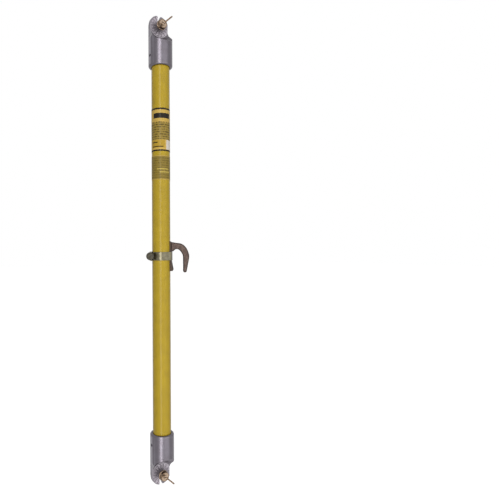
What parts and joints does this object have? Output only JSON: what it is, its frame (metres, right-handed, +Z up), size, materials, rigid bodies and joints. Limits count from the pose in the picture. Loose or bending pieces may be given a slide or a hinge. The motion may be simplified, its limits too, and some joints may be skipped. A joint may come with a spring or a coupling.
{
  "type": "hot stick",
  "caption": "Lineman's insulating stick with a universal tool head on each end and a storage hook clamped to its pole.",
  "frame": {"origin": "centre of the bottom head's tool seat, on the axis of its bolt and in the plane of the serrations' crests", "axes": "+Z up along the pole, -Y out of both tool seats towards their wing nuts, +X to the right seen from the tool side"},
  "size_m": [0.0746, 0.0484, 0.8197],
  "materials": {
    "glass_fibre": "gloss",
    "foam": "matte",
    "seal_resin": "satin",
    "label_film": "satin",
    "hook_bronze": "matte",
    "stainless": "satin",
    "screw_steel": "satin",
    "cast_aluminium": "matte",
    "bolt_bronze": "satin",
    "washer_bronze": "satin",
    "nut_bronze": "matte",
    "rivet_steel": "matte"
  },
  "bodies": {
    "stick": {"pole_tube": "glass_fibre", "foam_core": "foam", "bottom_seal": "seal_resin", "top_seal": "seal_resin", "rating_label": "label_film", "care_label": "label_film", "top_head": "cast_aluminium", "top_bolt": "bolt_bronze", "top_rivet": "rivet_steel", "bottom_head": "cast_aluminium", "bottom_bolt": "bolt_bronze", "bottom_rivet": "rivet_steel"},
    "top_washer": {"top_washer": "washer_bronze"},
    "top_wing_nut": {"top_wing_nut": "nut_bronze"},
    "bottom_washer": {"bottom_washer": "washer_bronze"},
    "bottom_wing_nut": {"bottom_wing_nut": "nut_bronze"},
    "hook_clamp": {"hook": "hook_bronze", "clamp_band": "stainless", "clamp_housing": "stainless"},
    "clamp_screw": {"clamp_screw": "screw_steel"}
  },
  "joints": [
    {"name": "top_washer_slide", "type": "slide", "parent": "stick", "child": "top_washer", "axis": [0, -1, 0], "range_m": [-0.00586, 0.00085]},
    {"name": "top_nut_turn", "type": "hinge", "parent": "top_washer", "child": "top_wing_nut", "pos_m": [0, 0, 0.7825], "axis": [0, -1, 0], "range_deg": [-1655, 235]},
    {"name": "bottom_washer_slide", "type": "slide", "parent": "stick", "child": "bottom_washer", "axis": [0, -1, 0], "range_m": [-0.00586, 0.00085]},
    {"name": "bottom_nut_turn", "type": "hinge", "parent": "bottom_washer", "child": "bottom_wing_nut", "pos_m": [0, 0, 0], "axis": [0, -1, 0], "range_deg": [-1655, 235]},
    {"name": "hook_slide", "type": "slide", "parent": "stick", "child": "hook_clamp", "axis": [0, 0, 1], "range_m": [-0.27, 0.1]},
    {"name": "clamp_screw_turn", "type": "hinge", "parent": "hook_clamp", "child": "clamp_screw", "pos_m": [-0.01924, 0.00528, 0.38095], "axis": [-0.3746, -0.9272, 0], "range_deg": [0, 1440]}
  ],
  "couplings": [
    {"joint": "top_washer_slide", "follows": "top_nut_turn", "m_per_rad": 0.00020213},
    {"joint": "bottom_washer_slide", "follows": "bottom_nut_turn", "m_per_rad": 0.00020213}
  ]
}
